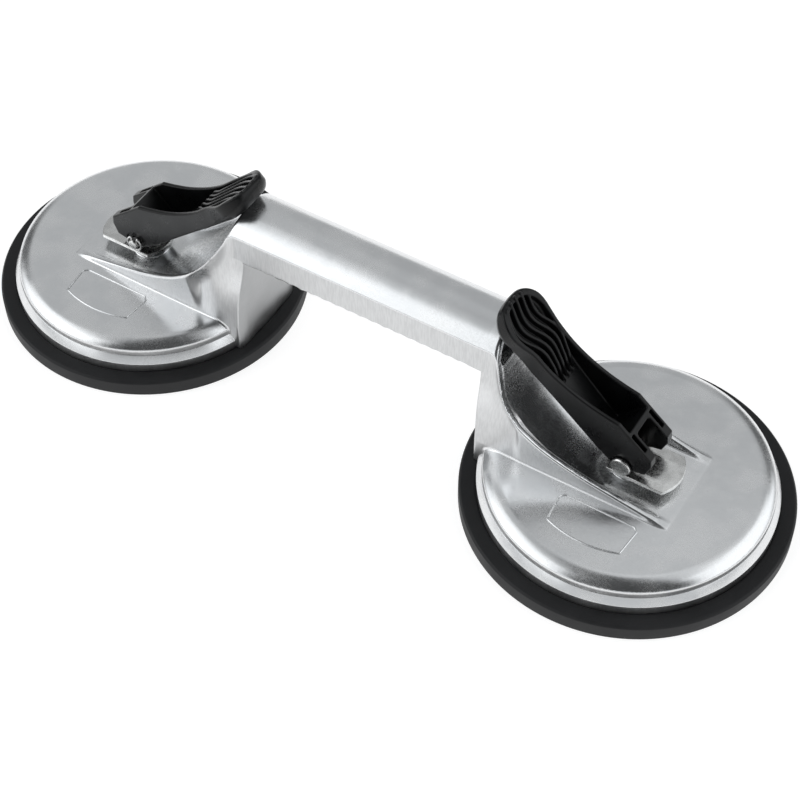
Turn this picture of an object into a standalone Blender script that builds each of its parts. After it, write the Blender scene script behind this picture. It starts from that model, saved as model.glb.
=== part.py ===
"""Twin-cup vacuum suction lifter: a die-cast frame with a handle, two rubber pads and two throwing levers.

Frame: metres, +Z up, origin under the middle of the lifter on the surface it stands on. +X runs along
the length, from cup B to cup A. Cup B's moving parts are cup A's turned half a turn about Z.
Run with: blender --background --python part.py
"""

from math import acos, cos, pi, radians, sin

import bmesh
import bpy
from mathutils import Matrix, Vector

# Driving dimensions.
CUP_PITCH = 0.208
PAD_RADIUS = 0.060
PAD_HEIGHT = 0.0092
DISH_RADIUS = 0.0558
PLATFORM_TOP = 0.0193
HANDLE_TOP = 0.0667
PIVOT_HEIGHT = 0.0283
LEVER_ANGLE = radians(44)
GAP = 0.0003

# The dish: an open-bottomed turned shell around its cup's axis.
DISH_EDGE_UNDERSIDE = 0.0036
CAVITY_RADIUS = 0.0485
CAVITY_ROOF = 0.0150
NUT_RECESS_RADIUS = 0.0088
NUT_RECESS_ROOF = 0.0180
GUIDE_BORE_RADIUS = 0.0043
BOSS_RADIUS = 0.0090
BOSS_TOP = 0.0225
DISH_CROWN = ((0.0, 0.0186), (0.024, 0.0184))
SHOULDER_CENTRE = (0.0485, 0.0140)
SHOULDER_RADIUS = 0.0033
DISH_BEAD = ((0.0515, 0.0112), (0.0537, 0.0100), (DISH_RADIUS, 0.0086))
CAVITY_CURVE = ((0.0520, DISH_EDGE_UNDERSIDE), (CAVITY_RADIUS, 0.0075), (0.0475, 0.0130), (0.0445, CAVITY_ROOF))

# The platform under the lever, and the tower that rises from its inner end to the handle.
PLATFORM_END = 0.125
TOWER_HALF_WIDTH = 0.0190
TOWER_INNER_FACE = 0.0500
TOWER_CORNER = 0.0060
TOWER_BASE = 0.0160
TOWER_TOP = 0.0570
TOWER_LEAN = 0.0008
TOWER_DRAFT = 0.0012
TOWER_NARROWING = 0.0030
TOWER_SHOULDER = 0.0120
TOWER_FOOT_LOW = (0.0503, -0.0125, 0.0085)
TOWER_FOOT_HIGH = (0.0600, 0.0125, 0.0180)
RIM_CURVE = ((0.122, 0.0193), (0.1319, 0.0193), (0.0585, 0.0238), (0.0542, 0.0687))
SCOOP_CURVE = ((0.099, 0.0190), (0.086, 0.0202), (0.0603, 0.0445), (0.0539, 0.0697))
SCOOP_HALF_WIDTH = 0.0162
SCOOP_CLEAR = 0.090
SCOOP_OUTER_END = 0.150

# The handle bar, hollow, between the towers.
HANDLE_HALF_WIDTH = 0.0130
HANDLE_UNDERSIDE = 0.0480
HANDLE_CROWN_RADIUS = 0.0166
HANDLE_WALL = 0.0030
HANDLE_LOW_BEVEL = (0.0035, 0.0040)
HANDLE_STATIONS = ((-0.060, 0.0045), (-0.0475, 0.0), (0.0475, 0.0), (0.060, 0.0045))
HOLLOW_REACH = 0.080

# The rubber pad, the stud and what they carry.
PAD_FLOOR = 0.0033
PAD_RIM_INNER_RADIUS = 0.0561
BOSS_RING_RADIUS = 0.0170
INSERT_RADIUS = 0.0140
INSERT_THICKNESS = 0.0020
NUT_ACROSS_FLATS = 0.013
NUT_HEIGHT = 0.0025
STUD_RADIUS = 0.0040
STUD_FLAT_HALF_WIDTH = 0.0028
STUD_CAP = 0.0038

# The pressure plate, the pin and its clip.
PLATE_RADIUS = 0.0140
PLATE_OFFSET = 0.0055
PLATE_HALF_WIDTH = 0.0092
PLATE_TOP = 0.0243
PLATE_THICKNESS = 0.0015
PIN_RADIUS = 0.0020
PIN_HEAD_RADIUS = 0.0032
PIN_HEAD_HEIGHT = 0.0014
CLIP_RADIUS = 0.0036
CLIP_THICKNESS = 0.0008
CLIP_GROOVE_RADIUS = 0.0015

# The lever, in its own frame: the origin on the pin, U along the lever and V out of its thumb side.
CAM_HEEL_RADIUS = 0.0037
CAM_FACE = ((0.0155, 0.0117), (0.0025, 0.0125))
CAM_TOE = ((-0.0026, 0.0107), (-0.0050, 0.0083), (-0.0058, 0.0060), (-0.0050, 0.0020))
LEVER_FRONT = (
    (0.0205, 0.0090),
    (0.0270, 0.0057),
    (0.0350, 0.0029),
    (0.0430, 0.0013),
    (0.0510, 0.0010),
    (0.0580, 0.0003),
    (0.0650, 0.0003),
)
LEVER_TIP = ((0.0695, -0.0010), (0.0705, -0.0030), (0.0692, -0.0052))
LEVER_BACK = ((0.0640, -0.0062), (0.0550, -0.0064), (0.0400, -0.0060), (0.0250, -0.0054), (0.0100, -0.0048))
LEVER_PLAN = (
    (-0.0080, 0.0085),
    (0.0120, 0.0085),
    (0.0430, 0.0090),
    (0.0510, 0.0094),
    (0.0560, 0.0106),
    (0.0600, 0.0111),
    (0.0640, 0.0104),
    (0.0675, 0.0084),
    (0.0697, 0.0056),
    (0.0708, 0.0020),
)
FORK_SLOT_HALF_WIDTH = 0.0045
FORK_SLOT_END = 0.0085
CHANNEL_HALF_WIDTH = 0.0066
CHANNEL = (0.0110, 0.0400)
CHANNEL_FLOOR = -0.0030

ROUND_STEPS = 32
DISH_STEPS = 60
MERGE = 0.00001


def clear_scene():
    for obj in list(bpy.data.objects):
        bpy.data.objects.remove(obj, do_unlink=True)


def make_collection(name):
    collection = bpy.data.collections.new(name)
    bpy.context.scene.collection.children.link(collection)
    return collection


def make_material(name, colour, roughness, metallic):
    material = bpy.data.materials.new(name)
    material.use_nodes = True
    shader = material.node_tree.nodes["Principled BSDF"]
    shader.inputs["Base Color"].default_value = (*colour, 1.0)
    shader.inputs["Roughness"].default_value = roughness
    shader.inputs["Metallic"].default_value = metallic
    return material


clear_scene()
LIFTER = make_collection("twin_cup_suction_lifter")
CUTTERS = make_collection("cutters")


def new_object(name, mesh, collection):
    obj = bpy.data.objects.new(name, mesh)
    collection.objects.link(obj)
    return obj


def as_cutter(obj):
    """Hide a solid that only cuts or joins another."""
    for collection in list(obj.users_collection):
        collection.objects.unlink(obj)
    CUTTERS.objects.link(obj)
    obj.hide_render = True
    obj.display_type = "WIRE"
    return obj


def boolean(obj, other, operation="DIFFERENCE"):
    modifier = obj.modifiers.new(operation.title(), "BOOLEAN")
    modifier.operation = operation
    modifier.solver = "EXACT"
    modifier.object = as_cutter(other)


def evaluated_mesh(obj):
    bpy.context.view_layer.update()
    graph = bpy.context.evaluated_depsgraph_get()
    mesh = bpy.data.meshes.new_from_object(obj.evaluated_get(graph))
    welded = bmesh.new()
    welded.from_mesh(mesh)
    bmesh.ops.remove_doubles(welded, verts=welded.verts, dist=MERGE)
    bmesh.ops.recalc_face_normals(welded, faces=welded.faces)
    welded.to_mesh(mesh)
    welded.free()
    return mesh


def turned(name, profile, steps, collection=LIFTER):
    """A solid of revolution about Z from (radius, height) points that run down its outer side."""
    mesh = bpy.data.meshes.new(name)
    edges = [(i, i + 1) for i in range(len(profile) - 1)]
    if profile[0][0] > 0 or profile[-1][0] > 0:
        edges.append((len(profile) - 1, 0))
    mesh.from_pydata([(r, 0.0, z) for r, z in profile], edges, [])
    obj = new_object(name, mesh, collection)
    screw = obj.modifiers.new("Screw", "SCREW")
    screw.steps = steps
    screw.render_steps = steps
    screw.use_merge_vertices = True
    screw.merge_threshold = MERGE
    obj.data = evaluated_mesh(obj)
    obj.modifiers.clear()
    return obj


def plate_from_outline(name, outline, low, high, collection=LIFTER):
    """A flat outline in XY, filled and extruded from Z = low to Z = high."""
    curve = bpy.data.curves.new(name, "CURVE")
    curve.dimensions = "2D"
    curve.fill_mode = "BOTH"
    curve.extrude = (high - low) / 2
    spline = curve.splines.new("POLY")
    spline.points.add(len(outline) - 1)
    for point, (x, y) in zip(spline.points, outline):
        point.co = (x, y, 0.0, 1.0)
    spline.use_cyclic_u = True
    drawn = new_object(name + "_outline", curve, collection)
    mesh = evaluated_mesh(drawn)
    mesh.transform(Matrix.Translation((0, 0, (low + high) / 2)))
    bpy.data.objects.remove(drawn, do_unlink=True)
    return new_object(name, mesh, collection)


def cylinder(name, radius, low, high, collection=LIFTER, steps=ROUND_STEPS):
    """A cylinder about Z from Z = low to Z = high."""
    mesh = bpy.data.meshes.new(name)
    built = bmesh.new()
    bmesh.ops.create_cone(
        built, cap_ends=True, segments=steps, radius1=radius, radius2=radius, depth=high - low
    )
    bmesh.ops.translate(built, verts=built.verts, vec=(0, 0, (low + high) / 2))
    built.to_mesh(mesh)
    built.free()
    return new_object(name, mesh, collection)


def box(name, low, high, collection=LIFTER):
    mesh = bpy.data.meshes.new(name)
    built = bmesh.new()
    bmesh.ops.create_cube(built, size=1.0)
    size = [b - a for a, b in zip(low, high)]
    middle = [(a + b) / 2 for a, b in zip(low, high)]
    bmesh.ops.scale(built, verts=built.verts, vec=size)
    bmesh.ops.translate(built, verts=built.verts, vec=middle)
    built.to_mesh(mesh)
    built.free()
    return new_object(name, mesh, collection)


def loft(name, sections, collection=LIFTER):
    """A solid through rings of equal point count, for sections that differ from end to end."""
    built = bmesh.new()
    rings = [[built.verts.new(point) for point in ring] for ring in sections]
    count = len(rings[0])
    for lower, upper in zip(rings, rings[1:]):
        for i in range(count):
            built.faces.new((lower[i], lower[(i + 1) % count], upper[(i + 1) % count], upper[i]))
    built.faces.new(list(reversed(rings[0])))
    built.faces.new(rings[-1])
    bmesh.ops.recalc_face_normals(built, faces=built.faces)
    mesh = bpy.data.meshes.new(name)
    built.to_mesh(mesh)
    built.free()
    return new_object(name, mesh, collection)


def finish_piece(obj, material):
    """Apply the cuts, while the cutters are still in line with the piece, and give it its material."""
    if obj.modifiers:
        obj.data = evaluated_mesh(obj)
        obj.modifiers.clear()
    obj.data.materials.clear()
    obj.data.materials.append(material)
    obj.data.shade_smooth()
    obj.data.set_sharp_from_angle(angle=radians(35))


def bezier(start, bend_a, bend_b, end, count):
    points = []
    for i in range(count + 1):
        t = i / count
        weights = ((1 - t) ** 3, 3 * t * (1 - t) ** 2, 3 * t * t * (1 - t), t**3)
        points.append(
            tuple(sum(w * p[k] for w, p in zip(weights, (start, bend_a, bend_b, end))) for k in (0, 1))
        )
    return points


def arc(centre, radius, start, end, count):
    return [
        (centre[0] + radius * cos(a), centre[1] + radius * sin(a))
        for a in (start + (end - start) * i / count for i in range(count + 1))
    ]


# The cast frame.


def make_dish(name, x):
    """One dish: crowned top, rounded shoulder, groove and bead, and the hollow that the rubber is drawn into."""
    profile = [
        *DISH_CROWN,
        *arc(SHOULDER_CENTRE, SHOULDER_RADIUS, radians(90), radians(5), 5),
        *DISH_BEAD,
        (DISH_RADIUS, DISH_EDGE_UNDERSIDE),
        *CAVITY_CURVE,
        (0.0, CAVITY_ROOF),
    ]
    dish = turned(name, profile, DISH_STEPS)
    dish.data.transform(Matrix.Translation((x, 0, 0)))
    return dish


def tower_section(side, z):
    """The tower's outline at one height: a flat inner face, two rounded corners and straight sides."""
    rise = (z - TOWER_BASE) / (TOWER_TOP - TOWER_BASE)
    inner = TOWER_INNER_FACE - TOWER_LEAN * rise
    half = TOWER_HALF_WIDTH - TOWER_DRAFT * rise
    pinch = TOWER_NARROWING * rise
    corner = arc((inner + TOWER_CORNER, half - pinch - TOWER_CORNER), TOWER_CORNER, pi, pi / 2, 4)
    half_ring = [*corner, (inner + TOWER_SHOULDER, half - pinch / 3), (PLATFORM_END, half)]
    ring = half_ring + [(x, -y) for x, y in reversed(half_ring)]
    return [(side * x, y, z) for x, y in ring]


def handle_section(x, spread=0.0):
    """The handle's section: a round crown, straight sides and a rounded underside."""
    half = HANDLE_HALF_WIDTH + spread
    fold = acos(HANDLE_HALF_WIDTH / HANDLE_CROWN_RADIUS)
    crown_centre = HANDLE_TOP - HANDLE_CROWN_RADIUS
    crown = [
        (y * half / HANDLE_HALF_WIDTH, z)
        for y, z in arc((0, crown_centre), HANDLE_CROWN_RADIUS, fold, pi - fold, 8)
    ]
    low = HANDLE_UNDERSIDE
    across, up = HANDLE_LOW_BEVEL
    base = [(-half, low + up), (across - half, low), (half - across, low), (half, low + up)]
    return [(x, y, z) for y, z in crown + base]


def inner_handle_section(x):
    """The same section, one wall thickness in, for the hollow that opens into both scoops."""
    middle = (HANDLE_TOP + HANDLE_UNDERSIDE) / 2
    reach = HANDLE_HALF_WIDTH
    height = (HANDLE_TOP - HANDLE_UNDERSIDE) / 2
    return [
        (
            x,
            y * (reach - HANDLE_WALL) / reach,
            middle + (z - middle) * (height - HANDLE_WALL) / height,
        )
        for _, y, z in handle_section(x)
    ]


def scoop_cutter(name, side, curve, half_width):
    """Cuts away all that is above a curve from the platform up to the handle's top."""
    low, high = curve[0], curve[-1]
    outline = [
        *bezier(*curve, 20),
        (high[0], SCOOP_CLEAR),
        (SCOOP_OUTER_END, SCOOP_CLEAR),
        (SCOOP_OUTER_END, low[1]),
    ]
    cutter = plate_from_outline(name, outline, -half_width, half_width)
    cutter.data.transform(Matrix.Rotation(pi / 2, 4, "X"))
    if side < 0:
        cutter.data.transform(Matrix.Rotation(pi, 4, "Z"))
    return cutter


def make_cast_frame(material):
    frame = make_dish("cast_frame", CUP_PITCH / 2)
    boolean(frame, make_dish("far_dish", -CUP_PITCH / 2), "UNION")
    for side in (1, -1):
        levels = [TOWER_BASE + (TOWER_TOP - TOWER_BASE) * i / 4 for i in range(5)]
        tower = loft("tower", [tower_section(side, z) for z in levels])
        boolean(frame, tower, "UNION")
        foot = box("tower_foot", TOWER_FOOT_LOW, TOWER_FOOT_HIGH)
        if side < 0:
            foot.data.transform(Matrix.Rotation(pi, 4, "Z"))
        boolean(frame, foot, "UNION")
    bar = loft("handle_bar", [handle_section(x, spread) for x, spread in HANDLE_STATIONS])
    boolean(frame, bar, "UNION")
    for side in (1, -1):
        boolean(frame, scoop_cutter("rim_cutter", side, RIM_CURVE, 2 * TOWER_HALF_WIDTH))
        boolean(frame, scoop_cutter("pocket_cutter", side, SCOOP_CURVE, SCOOP_HALF_WIDTH))
    hollow = loft("handle_hollow", [inner_handle_section(x) for x in (-HOLLOW_REACH, HOLLOW_REACH)])
    boolean(frame, hollow)
    for side in (1, -1):
        boss = cylinder("guide_boss", BOSS_RADIUS, PLATFORM_TOP - 0.0010, BOSS_TOP)
        recess = cylinder("nut_recess", NUT_RECESS_RADIUS, CAVITY_ROOF - 0.002, NUT_RECESS_ROOF)
        bore = cylinder("guide_bore", GUIDE_BORE_RADIUS, NUT_RECESS_ROOF - 0.002, BOSS_TOP + 0.002)
        for tool, operation in ((boss, "UNION"), (recess, "DIFFERENCE"), (bore, "DIFFERENCE")):
            tool.data.transform(Matrix.Translation((side * CUP_PITCH / 2, 0, 0)))
            boolean(frame, tool, operation)
    finish_piece(frame, material)
    return frame


# What each cup carries.


def make_rubber_pad(letter, cup, material):
    """A round pad with a raised rim around the dish's edge and a ring around the insert disc."""
    profile = [
        (0.0, PAD_FLOOR),
        (INSERT_RADIUS + GAP, PAD_FLOOR),
        (INSERT_RADIUS + GAP, PAD_FLOOR + INSERT_THICKNESS),
        (BOSS_RING_RADIUS, PAD_FLOOR + INSERT_THICKNESS),
        (BOSS_RING_RADIUS + 0.002, PAD_FLOOR),
        (PAD_RIM_INNER_RADIUS, PAD_FLOOR),
        (PAD_RIM_INNER_RADIUS, PAD_HEIGHT),
        (PAD_RADIUS, 0.0057),
        (PAD_RADIUS, 0.0),
        (0.0, 0.0),
    ]
    pad = turned("rubber_pad_" + letter, profile, DISH_STEPS)
    finish_piece(pad, material)
    pad.location = cup


def make_insert_disc(letter, cup, material):
    low = PAD_FLOOR + GAP
    disc = cylinder("insert_disc_" + letter, INSERT_RADIUS, low, low + INSERT_THICKNESS)
    boolean(disc, cylinder("insert_bore", STUD_RADIUS + GAP, 0.0, 0.020))
    finish_piece(disc, material)
    disc.location = cup


def make_stud_nut(letter, cup, material):
    low = PAD_FLOOR + INSERT_THICKNESS + 2 * GAP
    corner = NUT_ACROSS_FLATS / 2 / cos(pi / 6)
    nut = cylinder("stud_nut_" + letter, corner, low, low + NUT_HEIGHT, steps=6)
    boolean(nut, cylinder("nut_bore", STUD_RADIUS + GAP, 0.0, 0.020))
    finish_piece(nut, material)
    nut.location = cup


def make_draw_stud(letter, cup, material):
    """The stud that lifts the rubber: round, with an eye between two flats for the pivot pin."""
    profile = [
        (0.0, PIVOT_HEIGHT + STUD_CAP),
        (STUD_RADIUS - 0.0012, PIVOT_HEIGHT + STUD_CAP),
        (STUD_RADIUS, PIVOT_HEIGHT + STUD_CAP - 0.0012),
        (STUD_RADIUS, PAD_FLOOR + GAP),
        (0.0, PAD_FLOOR + GAP),
    ]
    stud = turned("draw_stud_" + letter, profile, ROUND_STEPS)
    for side in (1, -1):
        near, far = sorted((side * STUD_FLAT_HALF_WIDTH, side * 0.010))
        flat = box("eye_flat", (-0.010, near, BOSS_TOP + 0.0005), (0.010, far, 0.050))
        boolean(stud, flat)
    eye = cylinder("eye_bore", PIN_RADIUS + GAP, -0.010, 0.010, steps=24)
    eye.data.transform(Matrix.Translation((0, 0, PIVOT_HEIGHT)) @ Matrix.Rotation(pi / 2, 4, "X"))
    boolean(stud, eye)
    finish_piece(stud, material)
    stud.location = cup


def make_pressure_plate(letter, mount, material):
    """A wear plate for the cam, set outwards of the stud, with two sides cut flat."""
    low = PLATE_TOP - PLATE_THICKNESS
    plate = cylinder("pressure_plate_" + letter, PLATE_RADIUS, low, PLATE_TOP, steps=64)
    plate.data.transform(Matrix.Translation((PLATE_OFFSET, 0, 0)))
    for side in (1, -1):
        near, far = sorted((side * PLATE_HALF_WIDTH, side * 0.030))
        boolean(plate, box("plate_flat", (-0.030, near, 0.0), (0.030, far, 0.040)))
    boolean(plate, cylinder("plate_bore", STUD_RADIUS + 2 * GAP, 0.0, 0.040))
    finish_piece(plate, material)
    plate.data.transform(Matrix.Translation((0, 0, -PIVOT_HEIGHT)))
    plate.parent = mount


def make_pivot_pin(letter, mount, material):
    """Headed pin along Y, with a groove near its plain end for the clip."""
    half = LEVER_PLAN[0][1] + GAP
    head = half + PIN_HEAD_HEIGHT
    clip_low = half
    clip_high = clip_low + CLIP_THICKNESS + 2 * GAP
    profile = [
        (0.0, head),
        (PIN_HEAD_RADIUS - 0.0003, head),
        (PIN_HEAD_RADIUS, head - 0.0003),
        (PIN_HEAD_RADIUS, half),
        (PIN_RADIUS, half),
        (PIN_RADIUS, -clip_low),
        (CLIP_GROOVE_RADIUS, -clip_low),
        (CLIP_GROOVE_RADIUS, -clip_high),
        (PIN_RADIUS, -clip_high),
        (PIN_RADIUS, -clip_high - 0.0008),
        (0.0, -clip_high - 0.0008),
    ]
    pin = turned("pivot_pin_" + letter, profile, 24)
    pin.data.transform(Matrix.Rotation(pi / 2, 4, "X"))
    finish_piece(pin, material)
    pin.parent = mount


def make_retaining_clip(letter, mount, material):
    """An open ring that snaps into the pin's groove from above."""
    opening = radians(32)
    outer = arc((0, 0), CLIP_RADIUS, pi / 2 + opening, pi * 5 / 2 - opening, 24)
    inner = arc((0, 0), CLIP_GROOVE_RADIUS + GAP, pi * 5 / 2 - opening, pi / 2 + opening, 16)
    low = LEVER_PLAN[0][1] + 2 * GAP
    clip = plate_from_outline("retaining_clip_" + letter, outer + inner, low, low + CLIP_THICKNESS)
    clip.data.transform(Matrix.Rotation(-pi / 2, 4, "X"))
    finish_piece(clip, material)
    clip.parent = mount


def lever_side_outline():
    """The lever's side view, all the way round: cam face, toe, heel, back, tip and thumb side."""
    heel = arc((0, 0), CAM_HEEL_RADIUS, radians(200), radians(285), 6)
    back = list(reversed(LEVER_BACK))
    tip = list(reversed(LEVER_TIP))
    front = list(reversed(LEVER_FRONT))
    return [*CAM_FACE, *CAM_TOE, *heel, *back, *tip, *front]


def make_lever(letter, mount, material):
    """The throwing lever: a fork with a cam face, an open channel and a wide thumb pad."""
    lever = plate_from_outline("lever_" + letter, lever_side_outline(), -0.015, 0.015)
    lever.data.transform(Matrix.Rotation(pi / 2, 4, "X"))
    plan = list(LEVER_PLAN) + [(u, -y) for u, y in reversed(LEVER_PLAN)]
    boolean(lever, plate_from_outline("lever_plan", plan, -0.030, 0.030), "INTERSECT")
    slot = box(
        "fork_slot", (-0.020, -FORK_SLOT_HALF_WIDTH, -0.020), (FORK_SLOT_END, FORK_SLOT_HALF_WIDTH, 0.030)
    )
    boolean(lever, slot)
    channel = box(
        "lever_channel",
        (CHANNEL[0], -CHANNEL_HALF_WIDTH, CHANNEL_FLOOR),
        (CHANNEL[1], CHANNEL_HALF_WIDTH, 0.030),
    )
    boolean(lever, channel)
    bore = cylinder("pin_bore", PIN_RADIUS + GAP, -0.020, 0.020, steps=24)
    bore.data.transform(Matrix.Rotation(pi / 2, 4, "X"))
    boolean(lever, bore)
    finish_piece(lever, material)
    # U points inwards and up from the pin, and V outwards and up.
    lever.data.transform(Matrix.Rotation(LEVER_ANGLE, 4, "Y") @ Matrix.Rotation(pi, 4, "Z"))
    lever.parent = mount


def main():
    aluminium = make_material("cast_aluminium", (0.74, 0.75, 0.76), 0.28, 1.0)
    steel = make_material("plated_steel", (0.70, 0.70, 0.70), 0.25, 1.0)
    rubber = make_material("black_rubber", (0.025, 0.026, 0.028), 0.75, 0.0)
    plastic = make_material("black_plastic", (0.018, 0.018, 0.019), 0.42, 0.0)
    make_cast_frame(aluminium)
    for letter, side in (("a", 1), ("b", -1)):
        cup = Vector((side * CUP_PITCH / 2, 0, 0))
        mount = bpy.data.objects.new("lever_axis_" + letter, None)
        LIFTER.objects.link(mount)
        mount.location = cup + Vector((0, 0, PIVOT_HEIGHT))
        mount.rotation_euler = (0, 0, 0 if side > 0 else pi)
        make_rubber_pad(letter, cup, rubber)
        make_insert_disc(letter, cup, steel)
        make_stud_nut(letter, cup, steel)
        make_draw_stud(letter, cup, steel)
        make_pressure_plate(letter, mount, steel)
        make_pivot_pin(letter, mount, steel)
        make_retaining_clip(letter, mount, steel)
        make_lever(letter, mount, plastic)


main()
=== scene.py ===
"""The looks of the twin-cup suction lifter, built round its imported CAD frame.

The shape functions work in millimetres in the part's frame, with X along the handle, and MM turns them into
metres. The casting and the levers are drawn as distance fields, which give a casting's soft edges and
fillets, and are then meshed. The small turned and stamped pieces are plain mesh code.
"""

from math import cos, pi, radians, sin, tau

import bmesh
import bpy
import numpy as np
from mathutils import Matrix, Vector


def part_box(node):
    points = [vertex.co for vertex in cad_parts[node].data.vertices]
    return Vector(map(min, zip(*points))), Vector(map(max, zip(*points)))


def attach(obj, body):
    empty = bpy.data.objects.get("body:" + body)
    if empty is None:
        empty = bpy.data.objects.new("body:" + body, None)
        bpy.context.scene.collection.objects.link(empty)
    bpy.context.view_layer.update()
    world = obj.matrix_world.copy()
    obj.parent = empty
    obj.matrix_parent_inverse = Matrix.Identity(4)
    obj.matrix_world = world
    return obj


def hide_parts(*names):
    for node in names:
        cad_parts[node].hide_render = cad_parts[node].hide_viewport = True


MM = 0.001
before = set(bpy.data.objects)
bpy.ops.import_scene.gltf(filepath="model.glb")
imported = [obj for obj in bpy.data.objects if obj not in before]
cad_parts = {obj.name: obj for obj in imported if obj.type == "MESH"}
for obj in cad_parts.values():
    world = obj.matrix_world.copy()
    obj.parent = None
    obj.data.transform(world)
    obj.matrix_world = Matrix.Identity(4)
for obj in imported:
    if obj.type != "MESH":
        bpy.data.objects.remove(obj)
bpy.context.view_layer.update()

# Places, read from the CAD model.


def box_mm(node):
    low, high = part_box(node)
    return np.array(low) / MM, np.array(high) / MM


frame_low, _ = box_mm("cast_frame")
pad_low, pad_high = box_mm("rubber_pad_a")
pin_low, pin_high = box_mm("pivot_pin_a")
plate_low, plate_high = box_mm("pressure_plate_a")
_, stud_high = box_mm("draw_stud_a")
CUP = (pad_low[0] + pad_high[0]) / 2
PAD_RADIUS = (pad_high[1] - pad_low[1]) / 2
PAD_TOP = pad_high[2]
DISH_UNDERSIDE = frame_low[2]
PIVOT = (pin_low[2] + pin_high[2]) / 2
PLATE_TOP = plate_high[2]
PLATE_UNDERSIDE = plate_low[2]
PLATE_HALF_WIDTH = plate_high[1]
PLATE_RADIUS = (plate_high[0] - plate_low[0]) / 2
PLATE_CENTRE = (plate_high[0] + plate_low[0]) / 2 - CUP
STUD_RADIUS = stud_high[1]
STUD_TOP = stud_high[2]

# The casting, in millimetres. Its X and Y are taken from the middle, so one quarter is drawn. RIM and SCOOP
# are control points of curves in the XZ plane: the tower's rim, and the floor of the pocket inside the tower.
DISH_TOP = 18.6
DISH_CROWN = 0.4
CROWN_EDGE = 46.0
SHOULDER_RADIUS = 8.0
SHOULDER_END = radians(38)
DRUM_RADIUS = 52.0
CAVITY_RADIUS = 48.5
CAVITY_ROOF = 15.0
FLANGE_RADIUS = 54.0
FLANGE_TOP = 13.1
BOSS_RADIUS = 7.0
BOSS_TOP = 22.5
STUD_HOLE_RADIUS = 4.3
NUT_RECESS_RADIUS = 8.8
NUT_RECESS_ROOF = 18.0
PLATFORM_TOP = 19.0
PLATFORM_END = 127.5
RIM = ((122.0, PLATFORM_TOP), (131.9, PLATFORM_TOP), (58.5, 23.8), (54.2, 68.7))
SCOOP = ((99.0, PLATFORM_TOP - 0.1), (86.0, 19.8), (59.2, 44.0), (52.4, 69.7))
CROWN_RADIUS = 16.6
CROWN_CENTRE = 50.1
FOOT = 18.0
WALL_FOOT = 18.5
RIM_WALL = 2.9
INBOARD_LEAN = 0.02
TOWER_BOTTOM = 6.8
HANDLE_HALF_WIDTH = 12.8
HANDLE_UNDERSIDE = 48.0
WAVE_DEPTH = 0.45
WAVE_PITCH = 5.0
TUNNEL_RADIUS = 13.9
TUNNEL_HALF_WIDTH = 10.0
TUNNEL_FLOOR = 56.0

# A tower's side, as (height, size): how far its rim flares out, how far down the wall the flare reaches, and
# how far the wall draws in at the handle.
FLARE = (
    (19.3, 0.0),
    (22.0, 0.6),
    (27.0, 2.4),
    (36.0, 4.7),
    (44.0, 5.1),
    (50.0, 3.5),
    (56.0, 1.0),
    (61.0, 0.0),
    (69.0, 0.0),
)
FLARE_REACH = ((40.0, 8.0), (52.0, 4.5), (61.0, 1.4))
PINCH = ((FOOT, 0.5), (34.0, 1.4), (45.0, 3.4), (CROWN_CENTRE, CROWN_RADIUS - HANDLE_HALF_WIDTH))


# Distance fields.


def smoothstep(low, high, value):
    t = np.clip((value - low) / (high - low), 0.0, 1.0)
    return t * t * (3 - 2 * t)


def curve_through(points, value):
    """A smooth curve through (value, result) points, level beyond its ends."""
    xs, ys = (np.array(column, float) for column in zip(*points))
    slope = np.gradient(ys, xs)
    value = np.clip(value, xs[0], xs[-1])
    i = np.clip(np.searchsorted(xs, value, side="right") - 1, 0, len(xs) - 2)
    width = xs[i + 1] - xs[i]
    t = (value - xs[i]) / width
    return (
        ys[i] * (1 + 2 * t) * (1 - t) ** 2
        + ys[i + 1] * t * t * (3 - 2 * t)
        + width * t * (1 - t) * (slope[i] * (1 - t) - slope[i + 1] * t)
    )


def both(a, b, radius=0.0):
    """What is inside both fields, with their edge rounded."""
    if not np.any(radius):
        return np.maximum(a, b)
    outer = np.hypot(np.maximum(a + radius, 0.0), np.maximum(b + radius, 0.0))
    return np.minimum(-radius, np.maximum(a, b)) + outer


def either(a, b, radius=0.0):
    """What is inside either field, with a fillet between them."""
    return -both(-a, -b, radius)


def without(a, b, radius=0.0):
    return both(a, -b, radius)


def bezier(points, count):
    t = np.linspace(0.0, 1.0, count + 1)[:, None]
    a, b, c, d = (np.array(p, float) for p in points)
    return a * (1 - t) ** 3 + b * 3 * t * (1 - t) ** 2 + c * 3 * t * t * (1 - t) + d * t**3


def curve_field(x, z, points, run_out):
    """(distance, nearest Z) from an open curve in the XZ plane: negative below and inboard of it."""
    line = np.vstack([points[0] + run_out, points, points[-1] + (0.0, 40.0)])
    best = np.full(np.broadcast(x, z).shape, 1e9)
    side = np.zeros_like(best)
    nearest = np.zeros_like(best)
    for a, b in zip(line, line[1:]):
        along = b - a
        dx, dz = x - a[0], z - a[1]
        t = np.clip((dx * along[0] + dz * along[1]) / (along @ along), 0.0, 1.0)
        away = np.hypot(dx - t * along[0], dz - t * along[1])
        closer = away < best
        best = np.where(closer, away, best)
        nearest = np.where(closer, a[1] + t * along[1], nearest)
        side = np.where(closer, np.sign(dx * along[1] - dz * along[0]), side)
    return best * np.where(side > 0, 1.0, -1.0), nearest


RIM_LINE = bezier(RIM, 44)
RIM_LINE = RIM_LINE[RIM_LINE[:, 0].argmax() :]
SCOOP_LINE = bezier(SCOOP, 36)


def crown_drop(across):
    """How far a dish's top is below its middle, at a distance from the cup's axis."""
    return DISH_CROWN * (1 - np.maximum(1 - (across / CROWN_EDGE) ** 2, 0.0) ** 2)


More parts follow.
